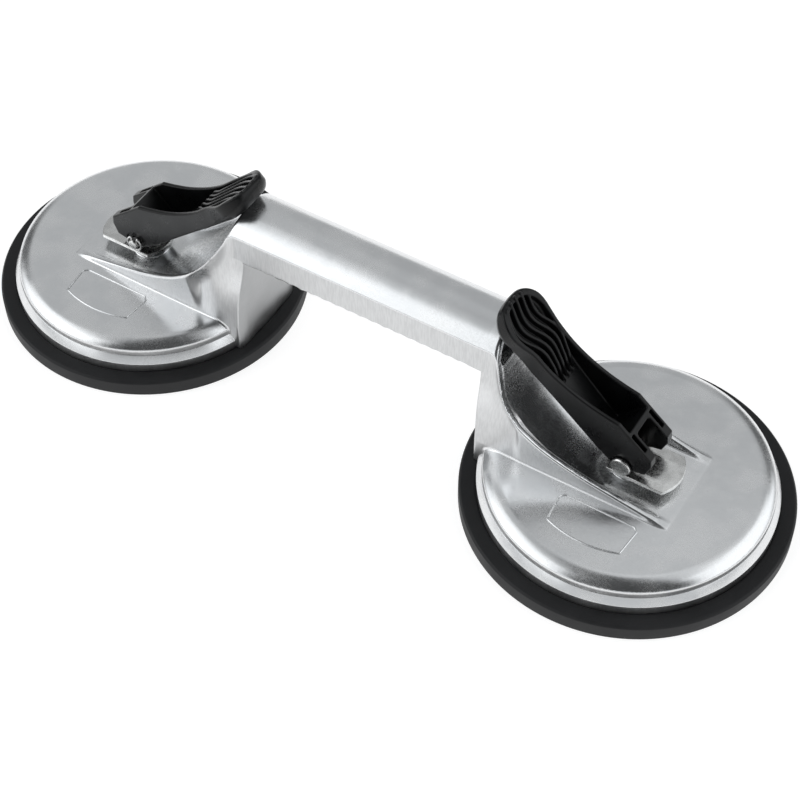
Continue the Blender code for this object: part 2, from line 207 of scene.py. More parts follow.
def dish_field(across, z):
    """One dish, from the distance to its cup's axis: a low crown, a round shoulder and an upright wall."""
    centre = DISH_TOP - DISH_CROWN - SHOULDER_RADIUS
    level = z - centre - DISH_CROWN + crown_drop(across)
    turn = np.clip(np.arctan2(z - centre, across - CROWN_EDGE), SHOULDER_END, pi / 2)
    shoulder = (across - CROWN_EDGE) * np.cos(turn) + level * np.sin(turn) - SHOULDER_RADIUS
    drum = both(shoulder, across - DRUM_RADIUS, 0.35)
    flange = both(z - 8.0, across - FLANGE_RADIUS + 1.0)
    return both(either(drum, flange), DISH_UNDERSIDE - z)


def under_dish_field(across, z):
    """The hollow under a dish, with its nut recess."""
    hollow = both(across - CAVITY_RADIUS - np.maximum(5.5 - z, 0.0), z - CAVITY_ROOF, 2.0)
    recess = both(across - NUT_RECESS_RADIUS, z - NUT_RECESS_ROOF, 0.4)
    return either(hollow, recess, 0.3)


def tower_walls(x, z):
    """(half width, flare, distance above the rim) of a tower at each X and Z."""
    above, rim_height = curve_field(x, z, RIM_LINE, (80.0, -20.0))
    risen = np.clip((z - FOOT) / (CROWN_CENTRE - FOOT), 0.0, 1.0)
    width = WALL_FOOT + (CROWN_RADIUS - WALL_FOOT) * risen
    width = width - curve_through(PINCH, z) * (1 - smoothstep(52.5, 63.5, x))
    peak = curve_through(FLARE, rim_height)
    near_rim = np.clip(1 + above / curve_through(FLARE_REACH, rim_height), 0.0, 1.0) ** 2
    rim_over = np.interp(x, RIM_LINE[::-1, 0], RIM_LINE[::-1, 1])
    ruled = np.clip((z - FOOT) / np.maximum(rim_over - FOOT, 0.5), 0.0, 1.0) ** 1.15
    return width, peak * (near_rim + (ruled - near_rim) * smoothstep(66.5, 70.5, x)), above


def arch_field(y, z, width):
    """A straight-sided arch with a round crown, across the handle."""
    rise = np.maximum(z - CROWN_CENTRE, 0.0)
    crown_radius = np.where(rise > 0, CROWN_RADIUS, 99.0)
    return both(np.hypot(y, rise) - crown_radius, y - width, 0.4)


def cast_frame_field(x, y, z):
    x, y = np.abs(x), np.abs(y)
    across = np.hypot(x - CUP, y)
    width, flare, above_rim = tower_walls(x, z)
    outside = arch_field(y, z, width) - flare
    inner_face = CUP - FLANGE_RADIUS - np.maximum(z - FOOT, 0.0) * INBOARD_LEAN - x
    walls = both(both(outside, inner_face, 1.2), across - FLANGE_RADIUS - 2.0, 0.5)
    walls = both(walls, x - PLATFORM_END, 1.0)
    tower = both(both(walls, above_rim, 1.1), TOWER_BOTTOM - z)

    above_scoop, _ = curve_field(x, z, SCOOP_LINE, (80.0, 0.0))
    pocket = both(-above_scoop, outside + RIM_WALL, 1.6)

    from_crown = np.hypot(y, z - CROWN_CENTRE)
    handle = both(from_crown - CROWN_RADIUS, y - HANDLE_HALF_WIDTH, 0.35)
    handle = both(handle, above_rim, 1.1)
    wave = WAVE_DEPTH * np.abs(np.sin(pi * x / WAVE_PITCH)) * (1 - smoothstep(44.0, 47.0, x))
    handle = both(handle, HANDLE_UNDERSIDE + wave - z, 1.8)
    tunnel_width = TUNNEL_HALF_WIDTH + 2.2 * smoothstep(51.0, 53.0, x)
    tunnel = both(both(from_crown - TUNNEL_RADIUS, y - tunnel_width, 0.8), TUNNEL_FLOOR - z, 0.6)

    # Only the part below the handle has a fillet: beside the handle the two surfaces coincide.
    body = either(handle, tower, 0.02 + 0.8 * (1 - smoothstep(45.0, 48.5, z)))
    body = without(body, pocket, 0.9)
    body = without(body, tunnel, 0.3)
    body = either(dish_field(across, z), body, 0.9)
    boss = both(across - BOSS_RADIUS, z - BOSS_TOP, 0.5)
    body = either(body, both(boss, 17.0 - z), 0.6)
    body = without(body, under_dish_field(across, z), 0.3)
    return without(body, across - STUD_HOLE_RADIUS, 0.2)


def surface_net(field, axes):
    """(points, quads) of a field's zero level on a rectilinear grid, one point in each cell it passes."""
    x, y, z = axes
    values = field(x[:, None, None], y[None, :, None], z[None, None, :]).astype(np.float32)
    inside = values < 0
    corners = [(i, j, k) for i in (0, 1) for j in (0, 1) for k in (0, 1)]
    size = [n - 1 for n in values.shape]
    held = np.zeros(size, np.int8)
    for i, j, k in corners:
        held += inside[i : i + size[0], j : j + size[1], k : k + size[2]]
    cells = np.argwhere((held > 0) & (held < 8))
    number = np.full(size, -1, np.int32)
    number[tuple(cells.T)] = np.arange(len(cells))
    total, crossings = np.zeros((len(cells), 3)), np.zeros(len(cells))
    for a in corners:
        for axis in range(3):
            if a[axis]:
                continue
            b = tuple(1 if k == axis else a[k] for k in range(3))
            low, high = cells + a, cells + b
            v0, v1 = values[tuple(low.T)], values[tuple(high.T)]
            crosses = (v0 < 0) != (v1 < 0)
            share = np.where(crosses, v0 / np.where(crosses, v0 - v1, 1.0), 0.0)
            for k in range(3):
                p0, p1 = axes[k][low[:, k]], axes[k][high[:, k]]
                total[:, k] += np.where(crosses, p0 + share * (p1 - p0), 0.0)
            crossings += crosses
    points = total / crossings[:, None]
    quads = []
    for axis in range(3):
        one, two = (axis + 1) % 3, (axis + 2) % 3
        low = [slice(None)] * 3
        high = [slice(None)] * 3
        low[axis], high[axis] = slice(0, -1), slice(1, None)
        for k in (one, two):
            low[k] = high[k] = slice(1, -1)
        change = inside[tuple(low)] != inside[tuple(high)]
        at = np.argwhere(change)
        at[:, one] += 1
        at[:, two] += 1
        out = inside[tuple(at.T)]
        ring = []
        for d1, d2 in ((-1, -1), (0, -1), (0, 0), (-1, 0)):
            cell = at.copy()
            cell[:, one] += d1
            cell[:, two] += d2
            ring.append(number[tuple(cell.T)])
        ring = np.stack(ring, 1)
        ring[~out] = ring[~out][:, ::-1]
        quads.append(ring)
    return points, np.vstack(quads)


def slope_of(field, points, step=0.04):
    columns = []
    for axis in range(3):
        ahead, behind = points.copy(), points.copy()
        ahead[:, axis] += step
        behind[:, axis] -= step
        columns.append((field(*ahead.T) - field(*behind.T)) / (2 * step))
    return np.stack(columns, 1)


def settle(field, points, rounds=3):
    """Move points on to the field's surface."""
    for _ in range(rounds):
        slope = slope_of(field, points)
        size = np.maximum((slope**2).sum(1), 0.05)
        move = -(field(*points.T) / size)[:, None] * slope
        length = np.linalg.norm(move, axis=1, keepdims=True)
        points = points + move * np.minimum(1.0, 0.3 / np.maximum(length, 1e-9))
    return points


def mesh_from(name, points, faces):
    mesh = bpy.data.meshes.new(name)
    mesh.from_pydata([tuple(p) for p in points], [], [tuple(f) for f in faces])
    mesh.validate()
    return mesh


def mesh_object(name, mesh):
    obj = bpy.data.objects.new(name, mesh)
    bpy.context.scene.collection.objects.link(obj)
    return obj


def applied(obj):
    """Bake the object's modifiers into its mesh."""
    bpy.context.view_layer.update()
    graph = bpy.context.evaluated_depsgraph_get()
    obj.data = bpy.data.meshes.new_from_object(obj.evaluated_get(graph))
    obj.modifiers.clear()


def field_object(name, field, axes, mirror=(False, False), keep=1.0):
    """A field as a mesh in metres with the field's own normals.

    It is mirrored in X and Y if asked, and thinned out where it is flat.
    """
    points, quads = surface_net(field, axes)
    points = settle(field, points)
    for axis in (0, 1):
        if mirror[axis]:
            points[np.abs(points[:, axis]) < 1e-3, axis] = 0.0
    obj = mesh_object(name, mesh_from(name, points, quads))
    if any(mirror):
        made = obj.modifiers.new("Mirror", "MIRROR")
        made.use_axis = (*mirror, False)
        made.merge_threshold = 0.01
    if keep < 1:
        thin = obj.modifiers.new("Decimate", "DECIMATE")
        thin.ratio = keep
    applied(obj)
    mesh = obj.data
    points = np.empty(len(mesh.vertices) * 3)
    mesh.vertices.foreach_get("co", points)
    points = settle(field, points.reshape(-1, 3), 1)
    normals = slope_of(field, points)
    normals /= np.maximum(np.linalg.norm(normals, axis=1, keepdims=True), 1e-9)
    mesh.vertices.foreach_set("co", (points * MM).ravel())
    mesh.update()
    mesh.shade_smooth()
    mesh.normals_split_custom_set_from_vertices(normals)
    return obj


def spaced(*stretches):
    """Grid lines from (start, end, step) stretches, laid end to end."""
    lines = []
    for a, b, step in stretches:
        lines.append(np.linspace(a, b, max(1, round((b - a) / step)), endpoint=False))
    return np.concatenate([*lines, [stretches[-1][1]]])


def make_cast_frame():
    """The casting from one quarter, whose first cell lies across each middle plane."""
    fine = 1.0
    half = 0.4
    x = spaced(
        (-half, half, 2 * half),
        (half, 46.0, 0.85 * fine),
        (46.0, 62.0, 0.4 * fine),
        (62.0, 126.0, 0.62 * fine),
        (126.0, 161.0, 0.75 * fine),
    )
    half = 0.25
    y = spaced((-half, half, 2 * half), (half, 26.0, 0.5 * fine), (26.0, 57.5, 0.7 * fine))
    z = spaced((2.4, 12.4, 0.5 * fine), (12.4, 24.4, 0.5 * fine), (24.4, 70.4, 0.5 * fine))
    return field_object("cast_frame_body", cast_frame_field, (x, y, z), (True, True), 0.3)


# The levers, in their own frame: U along the lever from the pin, Y across it and V out of its thumb side.
CAM_FACE = ((15.8, 11.8), (-1.9, 12.9))
CAM_TOE = ((-4.4, 10.8), (-6.4, 6.0), (-4.2, 2.6))
HEEL_RADIUS = 3.7
LEVER_FRONT = ((65.0, 0.3), (58.0, 0.3), (51.0, 1.0), (43.0, 1.3), (35.0, 2.9), (27.0, 5.7), (20.5, 9.0))
LEVER_TIP = ((69.4, -5.8), (70.9, -3.2), (69.6, -0.8))
LEVER_BACK = ((10.0, -4.8), (25.0, -5.4), (40.0, -6.1), (54.0, -7.0), (64.0, -7.1))
LEVER_CREST = ((10.0, 12.1), (15.5, 11.7), *reversed(LEVER_FRONT[1:]), (70.0, 0.3))
LEVER_HALF_WIDTH = (
    (-8.0, 8.5),
    (12.0, 8.5),
    (30.0, 8.7),
    (43.0, 9.0),
    (51.0, 9.3),
    (56.0, 10.4),
    (60.0, 11.1),
    (64.0, 10.6),
    (67.5, 8.6),
    (69.8, 5.6),
    (70.8, 2.0),
)
LEVER_EDGE = 0.7
BULB_EDGE = 3.2
CHANNEL_START = 10.6
CHANNEL_FLOOR = -3.0
CHANNEL_WALL = 1.8
RIB_PITCH = 3.3
RIB_COUNT = 5
RIB_HALF_WIDTH = 0.62
RIB_START = 34.0
FORK_SLOT = 4.5
FORK_SLOT_END = 8.3
SIDE_POCKET = (5.6, 6.5, 8.5)
SIDE_POCKET_HALF = (3.7, 0.85)
PIN_HEAD_RADIUS = min(3.8, PIVOT - PLATE_TOP - 0.2)
PIN_HEAD_FACE = 8.15
PIN_HOLE_RADIUS = 2.25


def polygon_field(x, y, points):
    """Distance from a closed outline: negative inside."""
    shape = np.broadcast(x, y).shape
    best, inside = np.full(shape, 1e9), np.zeros(shape, bool)
    for (ax, ay), (bx, by) in zip(points, points[1:] + points[:1]):
        run, rise = bx - ax, by - ay
        t = np.clip(((x - ax) * run + (y - ay) * rise) / (run**2 + rise**2), 0.0, 1.0)
        best = np.minimum(best, np.hypot(x - ax - t * run, y - ay - t * rise))
        if rise:
            inside ^= ((ay > y) != (by > y)) & (x < ax + run * (y - ay) / rise)
    return np.where(inside, -best, best)


def arc_points(centre, radius, start, end, count):
    turns = [start + (end - start) * i / count for i in range(count + 1)]
    return [(centre[0] + radius * cos(turn), centre[1] + radius * sin(turn)) for turn in turns]


def smooth_line(points, per_stretch=4):
    """The points with a smooth curve between them."""
    made = []
    last = len(points) - 1
    for i in range(last):
        around = [points[min(max(k, 0), last)] for k in (i - 1, i, i + 1, i + 2)]
        before, a, b, after = (np.array(point, float) for point in around)
        for j in range(per_stretch):
            t = j / per_stretch
            bend = 2 * before - 5 * a + 4 * b - after + t * (3 * (a - b) + after - before)
            made.append(tuple(a + 0.5 * t * (b - before + t * bend)))
    return [*made, tuple(points[-1])]


LEVER_SIDE = [
    *CAM_FACE,
    *CAM_TOE,
    *arc_points((0.0, 0.0), HEEL_RADIUS, radians(200), radians(285), 8),
    *smooth_line([*LEVER_BACK, *LEVER_TIP, *LEVER_FRONT]),
]
LEVER_PLAN = smooth_line(LEVER_HALF_WIDTH)
LEVER_PLAN += [(u, -y) for u, y in reversed(LEVER_PLAN)]


def rib_wave(u):
    """How far the ribs swing to one side along the thumb pad."""
    return -1.5 * np.cos(tau * (u - 49.0) / 22.0) * smoothstep(RIB_START, 44.0, u)


def lever_field(u, y, v):
    side = polygon_field(u, v, LEVER_SIDE)
    plan = polygon_field(u, y, LEVER_PLAN)
    bulb = smoothstep(-0.5, -5.0, v) * smoothstep(44.0, 62.0, u)
    body = both(side, plan, LEVER_EDGE + BULB_EDGE * bulb)
    top = curve_through(LEVER_CREST, u)
    floor = CHANNEL_FLOOR + 0.9 * smoothstep(RIB_START, 46.0, u)
    wall = CHANNEL_WALL + 0.9 * smoothstep(55.0, 66.0, u)
    channel = both(both(plan + wall, CHANNEL_START - u, 0.8), floor - v, 0.8)
    body = without(body, channel, 0.45)
    for i in range(RIB_COUNT):
        spread = RIB_PITCH * (0.72 + 0.28 * smoothstep(40.0, 56.0, u))
        centre = (i - (RIB_COUNT - 1) / 2) * spread + rib_wave(u)
        height = floor + (top - 0.3 - floor) * smoothstep(RIB_START, 43.0, u)
        rib = both(np.abs(y - centre) - RIB_HALF_WIDTH, v - height, 0.45)
        rib = both(rib, both(RIB_START + 0.5 - u, plan + 1.0), 0.3)
        rib = both(rib, floor - 1.0 - v)
        body = either(body, rib, 0.35)
    slot = both(np.abs(y) - FORK_SLOT, u - FORK_SLOT_END, 1.2)
    body = without(body, slot, 0.4)
    pocket_u, pocket_y, pocket_v = SIDE_POCKET
    half_u, half_y = SIDE_POCKET_HALF
    pocket = both(np.abs(np.abs(y) - pocket_y) - half_y, np.abs(u - pocket_u) - half_u, 0.25)
    body = without(body, both(pocket, pocket_v - v, 0.2), 0.25)
    from_pin = np.hypot(u, v)
    recess = both(from_pin - PIN_HEAD_RADIUS - 0.4, PIN_HEAD_FACE - np.abs(y), 0.1)
    body = without(body, recess, 0.25)
    return without(body, from_pin - PIN_HOLE_RADIUS, 0.1)


def make_lever():
    fine = 1.0
    u = spaced((-7.0, 72.0, 0.33 * fine))
    y = spaced((-11.7, 11.7, 0.3 * fine))
    v = spaced((-7.2, 13.4, 0.33 * fine))
    return field_object("lever_shell_a", lever_field, (u, y, v), keep=0.5)


# Turned, bent and stamped pieces, in millimetres. The rubber's top is RUBBER_DROP below the CAD pad's.
RUBBER_DROP = 2.5
PLATE_ARC_STEPS = 40
STUD_FOOT = 4.0
STUD_FLAT = 2.8
STUD_FLAT_START = 23.0
FLAT_CUTTER = 20.0
PIN_RADIUS = 2.0
PIN_HEAD_THICKNESS = 1.4
CLIP_RADIUS = 3.1
CLIP_TAIL = 1.9
CLIP_WIRE = 0.9


def rounded(points, radii, count=5):
    """An open outline with its inner corners rounded."""
    made = [tuple(points[0])]
    for before, corner, after, radius in zip(points, points[1:], points[2:], radii):
        a, p, b = (np.array(q, float) for q in (before, corner, after))
        one, two = (a - p) / np.linalg.norm(a - p), (b - p) / np.linalg.norm(b - p)
        half = np.arccos(np.clip(one @ two, -1, 1)) / 2
        reach = min(radius / np.tan(half), np.linalg.norm(a - p) * 0.49, np.linalg.norm(b - p) * 0.49)
        start, end = p + one * reach, p + two * reach
        for i in range(count + 1):
            t = i / count
            made.append(tuple(start * (1 - t) ** 2 + 2 * p * t * (1 - t) + end * t * t))
    return [*made, tuple(points[-1])]


def turned(name, profile, steps=128, ring=False):
    """A solid of revolution about Z, closed on the axis or as a ring.

    The profile is (radius, height) points running down its outside.
    """
    built = bmesh.new()
    turns = [tau * i / steps for i in range(steps)]
    rings = []
    for radius, z in profile:
        if radius < 1e-6:
            rings.append([built.verts.new((0, 0, z * MM))] * steps)
        else:
            places = [(radius * cos(turn) * MM, radius * sin(turn) * MM, z * MM) for turn in turns]
            rings.append([built.verts.new(place) for place in places])
    for upper, lower in zip(rings, rings[1:] + (rings[:1] if ring else [])):
        for i in range(steps):
            j = (i + 1) % steps
            corners = list(dict.fromkeys((upper[i], lower[i], lower[j], upper[j])))
            built.faces.new(corners)
    mesh = bpy.data.meshes.new(name)
    built.to_mesh(mesh)
    built.free()
    mesh.shade_smooth()
    mesh.set_sharp_from_angle(angle=radians(50))
    return mesh_object(name, mesh)


def stamped(name, outer, inner, low, high, edge):
    """A flat sheet piece between two heights, with a round hole if asked and its edges rounded."""
    curve = bpy.data.curves.new(name, "CURVE")
    curve.dimensions = "2D"
    curve.fill_mode = "BOTH"
    curve.extrude = (high - low) / 2 * MM - edge * MM
    curve.bevel_depth = edge * MM
    curve.bevel_resolution = 2
    curve.offset = -edge * MM
    for ring in (outer, inner):
        if not ring:
            continue
        spline = curve.splines.new("POLY")
        spline.points.add(len(ring) - 1)
        for point, (x, y) in zip(spline.points, ring):
            point.co = (x * MM, y * MM, 0.0, 1.0)
        spline.use_cyclic_u = True
    drawn = mesh_object(name + "_line", curve)
    bpy.context.view_layer.update()
    graph = bpy.context.evaluated_depsgraph_get()
    mesh = bpy.data.meshes.new_from_object(drawn.evaluated_get(graph))
    bpy.data.objects.remove(drawn, do_unlink=True)
    mesh.transform(Matrix.Translation((0, 0, (low + high) / 2 * MM)))
    built = bmesh.new()
    built.from_mesh(mesh)
    bmesh.ops.remove_doubles(built, verts=built.verts, dist=1e-6)
    bmesh.ops.recalc_face_normals(built, faces=built.faces)
    built.to_mesh(mesh)
    built.free()
    mesh.shade_smooth()
    mesh.set_sharp_from_angle(angle=radians(40))
    return mesh_object(name, mesh)


def wire(name, points, thickness, closed=False):
    """A round wire along points in millimetres."""
    curve = bpy.data.curves.new(name, "CURVE")
    curve.dimensions = "3D"
    curve.bevel_depth = thickness / 2 * MM
    curve.bevel_resolution = 4
    curve.use_fill_caps = True
    spline = curve.splines.new("POLY")
    spline.points.add(len(points) - 1)
    for point, place in zip(spline.points, points):
        point.co = (*(Vector(place) * MM), 1.0)
    spline.use_cyclic_u = closed
    drawn = mesh_object(name, curve)
    mesh = bpy.data.meshes.new_from_object(drawn)
    bpy.data.objects.remove(drawn, do_unlink=True)
    mesh.shade_smooth()
    return mesh_object(name, mesh)


def resampled(loop, step=1.0):
    """A closed outline with points about a step apart."""
    made = []
    for a, b in zip(loop, loop[1:] + loop[:1]):
        a, b = np.array(a), np.array(b)
        count = max(1, round(float(np.linalg.norm(b - a)) / step))
        made += [tuple(a + (b - a) * i / count) for i in range(count)]
    return made


def make_pad():
    """The rubber pad: a flat face, an upright side and a top that lies below the dish's edge."""
    inner, top = FLANGE_RADIUS + 0.12, PAD_TOP - RUBBER_DROP
    side = PAD_RADIUS + 0.25
    profile = rounded(
        [
            (0.0, 3.3),
            (inner, 3.3),
            (inner, top - 0.2),
            (inner + 0.7, top),
            (PAD_RADIUS - 0.5, top + 0.15),
            (side, top - 0.7),
            (side, 0.3),
            (PAD_RADIUS, 0.0),
            (PAD_RADIUS - 4.0, 0.0),
            (PAD_RADIUS - 4.6, 0.35),
            (0.0, 0.35),
        ],
        (0.3, 0.3, 0.4, 0.7, 0.6, 0.3, 0.2, 0.3, 0.3),
    )
    return turned("pad_rubber_a", profile, 192)


def make_dish_edge():
    """The edge of a dish: a bevel from the foot of its wall, and a short drop to the rubber."""
    inner, top = DRUM_RADIUS - 0.7, FLANGE_TOP
    profile = rounded(
        [
            (inner, 6.0),
            (inner, top),
            (DRUM_RADIUS + 0.1, top),
            (FLANGE_RADIUS, top - 2.9),
            (FLANGE_RADIUS, 6.0),
        ],
        (0.1, 0.1, 0.5),
    )
    return turned("dish_edge_a", profile, 256, ring=True)


def make_wear_plate():
    """The pressure plate: a disc with its two sides cut flat and a hole for the stud."""
    half = PLATE_HALF_WIDTH
    turn = np.arcsin(half / PLATE_RADIUS)
    outline = []
    for start in (-turn, pi - turn):
        for i in range(PLATE_ARC_STEPS + 1):
            a = start + 2 * turn * i / PLATE_ARC_STEPS
            outline.append((PLATE_CENTRE + PLATE_RADIUS * cos(a), PLATE_RADIUS * sin(a)))
    radius = STUD_RADIUS + 0.6
    hole_turns = [-tau * i / PLATE_ARC_STEPS for i in range(PLATE_ARC_STEPS)]
    hole = [(radius * cos(a), radius * sin(a)) for a in hole_turns]
    return stamped("wear_plate_a", outline, hole, PLATE_UNDERSIDE, PLATE_TOP, 0.18)


def make_stud():
    """The draw stud, with a flat on each side of its eye."""
    corners = [(0.0, STUD_TOP), (STUD_RADIUS, STUD_TOP), (STUD_RADIUS, STUD_FOOT), (0.0, STUD_FOOT)]
    profile = rounded(corners, (1.1, 0.3))
    stud = turned("stud_eye_a", profile, 64)
    for side in (1, -1):
        cutter = mesh_object("stud_cutter", bpy.data.meshes.new("stud_cutter"))
        built = bmesh.new()
        bmesh.ops.create_cube(built, size=FLAT_CUTTER * MM)
        middle = (0, side * (STUD_FLAT + FLAT_CUTTER / 2) * MM, (STUD_FLAT_START + FLAT_CUTTER / 2) * MM)
        bmesh.ops.translate(built, verts=built.verts, vec=middle)
        built.to_mesh(cutter.data)
        built.free()
        cut = stud.modifiers.new("Flat", "BOOLEAN")
        cut.operation = "DIFFERENCE"
        cut.solver = "EXACT"
        cut.object = cutter
        applied(stud)
        bpy.data.objects.remove(cutter, do_unlink=True)
    stud.data.shade_smooth()
    stud.data.set_sharp_from_angle(angle=radians(35))
    return stud


def make_pin():
    """The pivot pin along Y, its head on the minus Y side."""
    head = -pin_low[1]
    neck = head - PIN_HEAD_THICKNESS
    end = pin_high[1]
    wide = PIN_HEAD_RADIUS
    profile = rounded(
        [
            (0.0, head - 0.1),
            (wide - 0.3, head - 0.05),
            (wide, head - 0.5),
            (wide, neck),
            (PIN_RADIUS, neck),
            (PIN_RADIUS, -end),
            (0.0, -end),
        ],
        (0.4, 0.2, 0.2, 0.2, 0.5),
    )
    pin = turned("pin_steel_a", profile, 64)
    pin.data.transform(Matrix.Rotation(pi / 2, 4, "X"))
    return pin


def make_clip():
    """An open spring ring round the pin's plain end."""
    opening = radians(28)
    side = pin_high[1] - 1.4
    ring_turns = np.linspace(pi / 2 + opening, 5 * pi / 2 - opening, 49)
    tail_turns = (pi / 2 + opening * 1.3, 5 * pi / 2 - opening * 1.3)
    ring = [(CLIP_RADIUS * cos(a), side, CLIP_RADIUS * sin(a)) for a in ring_turns]
    tails = [(CLIP_TAIL * cos(a), side, CLIP_TAIL * sin(a)) for a in tail_turns]
    return wire("clip_ring_a", [tails[0], *ring, tails[1]], CLIP_WIRE)


def casting_top(x, y, low=16.0, high=27.0):
    """The height of the casting's upper surface at (x, y), for places near a dish's top."""
    low, high = np.full(len(x), low), np.full(len(x), high)
    for _ in range(24):
        middle = (low + high) / 2
        inside = cast_frame_field(x, y, middle) < 0
        low, high = np.where(inside, middle, low), np.where(inside, high, middle)
    return low


def make_label_line(letter, cup):
    """The raised outline of the blank label panel on a dish, lying on the casting."""
    half, near, far, corner = 15.0, 23.0, 38.0, 1.6
    turn = np.arcsin(half / far)
    outer = [(far * sin(a), -far * cos(a)) for a in np.linspace(-turn + 0.03, turn - 0.03, 25)]
    inner = [(half, -near - corner), (half - corner, -near), (corner - half, -near)]
    x, y = np.array(resampled([(-half, -near - corner), *outer, *inner])).T
    x = x + cup
    return wire(f"label_line_{letter}", list(zip(x, y, casting_top(x, y) + 0.02)), 0.7, closed=True)


# Materials.


class Nodes:
    """The node tree of a material or a world, built with short calls."""

    def __init__(self, holder, shader="Principled BSDF", place="Object"):
        self.holder = holder
        holder.use_nodes = True
        self.tree = holder.node_tree
        self.shader = self.tree.nodes[shader]
        self.place = self.add("ShaderNodeTexCoord").outputs[place]

    def add(self, kind, **settings):
        node = self.tree.nodes.new(kind)
        for key, value in settings.items():
            setattr(node, key, value)
        return node

    def link(self, out, into):
        self.tree.links.new(out, into)

    def noise(self, scale, detail=2.0, rough=0.5, stretch=None):
        node = self.add("ShaderNodeTexNoise")
        node.inputs["Scale"].default_value = scale
        node.inputs["Detail"].default_value = detail
        node.inputs["Roughness"].default_value = rough
        source = self.place
        if stretch:
            mapping = self.add("ShaderNodeMapping")
            mapping.inputs["Scale"].default_value = stretch
            self.link(source, mapping.inputs["Vector"])
            source = mapping.outputs["Vector"]
        self.link(source, node.inputs["Vector"])
        return node.outputs["Fac"]

    def spread(self, value, low, high, to_low, to_high):
        node = self.add("ShaderNodeMapRange")
        node.interpolation_type = "SMOOTHSTEP"
        for key, number in (("From Min", low), ("From Max", high), ("To Min", to_low), ("To Max", to_high)):
            node.inputs[key].default_value = number
        self.link(value, node.inputs["Value"])
        return node.outputs["Result"]

    def along(self, axis, source=None):
        """How far the place, the world's direction or another vector reaches along an axis."""
        node = self.add("ShaderNodeVectorMath", operation="DOT_PRODUCT")
        self.link(source or self.place, node.inputs[0])
        node.inputs[1].default_value = axis
        return node.outputs["Value"]

    def between(self, value, low, high, soft):
        """1 inside a range and 0 outside it, with soft edges."""
        above = self.spread(value, low, low + soft, 0, 1)
        return self.math("MULTIPLY", above, self.spread(value, high - soft, high, 1, 0))

    def blended(self, share, under, over):
        left = self.math("MULTIPLY", under, self.math("SUBTRACT", 1.0, share))
        return self.math("ADD", left, self.math("MULTIPLY", share, over))

    def math(self, operation, a, b=0.0):
        node = self.add("ShaderNodeMath", operation=operation)
        for socket, value in zip(node.inputs, (a, b)):
            if isinstance(value, (int, float)):
                socket.default_value = value
            else:
                self.link(value, socket)
        return node.outputs["Value"]

    def mix(self, share, a, b):
        node = self.add("ShaderNodeMix", data_type="RGBA")
        self.link(share, node.inputs["Factor"])
        for key, colour in (("A", a), ("B", b)):
            socket = [s for s in node.inputs if s.name == key and s.type == "RGBA"][0]
            if isinstance(colour, tuple):
                socket.default_value = (*colour, 1.0)
            else:
                self.link(colour, socket)
        return [s for s in node.outputs if s.type == "RGBA"][0]

    def bump(self, height, distance, strength=1.0, under=None):
        node = self.add("ShaderNodeBump")
        node.inputs["Distance"].default_value = distance
        node.inputs["Strength"].default_value = strength
        self.link(height, node.inputs["Height"])
        if under is not None:
            self.link(under, node.inputs["Normal"])
        return node.outputs["Normal"]

    def finish(self, colour=None, roughness=None, normal=None, **fixed):
        for key, value in (("Base Color", colour), ("Roughness", roughness), ("Normal", normal)):
            if value is not None:
                self.link(value, self.shader.inputs[key])
        for key, value in fixed.items():
            self.shader.inputs[key.replace("_", " ")].default_value = value
        return self.holder


def new_material(name):
    return Nodes(bpy.data.materials.new(name))


def cast_aluminium():
    """Bright aluminium with upright die marks on its upright sides. Painted shade makes its colour greyer on
    the upright sides and much darker on its end faces.
    """
    n = new_material("cast_aluminium_satin")
    facing = n.add("ShaderNodeTexCoord").outputs["Normal"]
    upright = n.spread(n.math("ABSOLUTE", n.along((0.0, 0.0, 1.0), facing)), 0.10, 0.40, 1, 0)
    on_end = n.spread(n.math("ABSOLUTE", n.along((1.0, 0.0, 0.0), facing)), 0.5, 0.8, 0, 1)
    # Where the end faces are, used only to paint shade into their colour.
    end_face_shade = n.math("MULTIPLY", upright, on_end)
    clouds = n.noise(70, 3, 0.55)
    grain = n.noise(1400, 2, 0.6)
    marks = n.noise(1700, 3, 0.6, (1.0, 1.0, 0.12))
    bright = n.mix(n.spread(clouds, 0.35, 0.65, 0, 1), (0.74, 0.75, 0.76), (0.82, 0.825, 0.83))
    # A greyer colour for the upright sides: the streaks are real die marks, the lower level is painted shade.
    grey = n.mix(n.spread(marks, 0.35, 0.65, 0, 1), (0.59, 0.595, 0.60), (0.66, 0.665, 0.67))
    # A much darker colour for the end faces: painted shade.
    end_painted_shade = n.mix(n.spread(clouds, 0.35, 0.65, 0, 1), (0.38, 0.385, 0.39), (0.42, 0.425, 0.43))
    colour = n.mix(end_face_shade, n.mix(upright, bright, grey), end_painted_shade)
    roughness = n.math("ADD", n.spread(clouds, 0.3, 0.7, 0.20, 0.27), n.spread(grain, 0.3, 0.7, -0.02, 0.04))
    roughness = n.math("ADD", roughness, n.math("MULTIPLY", upright, 0.12))
    ripple = n.bump(n.noise(160, 2, 0.5), 0.00010, 0.35)
    return n.finish(colour, roughness, n.bump(grain, 0.00003, 0.12, ripple), Metallic=1.0)


def bright_steel():
    n = new_material("bright_steel")
    streaks = n.noise(900, 2, 0.6)
    colour = n.mix(n.spread(n.noise(300, 2), 0.35, 0.65, 0, 1), (0.62, 0.62, 0.61), (0.74, 0.74, 0.73))
    roughness = n.spread(streaks, 0.3, 0.7, 0.2, 0.34)
    return n.finish(colour, roughness, n.bump(streaks, 0.00002, 0.15), Metallic=1.0)


def black_rubber():
    n = new_material("black_rubber_matt")
    clouds = n.noise(90, 3, 0.6)
    grain = n.noise(2600, 2, 0.6)
    colour = n.mix(n.spread(clouds, 0.3, 0.7, 0, 1), (0.012, 0.0123, 0.0132), (0.018, 0.0183, 0.0195))
    roughness = n.spread(clouds, 0.3, 0.7, 0.5, 0.62)
    return n.finish(colour, roughness, n.bump(grain, 0.00004, 0.5), Specular_IOR_Level=0.28)


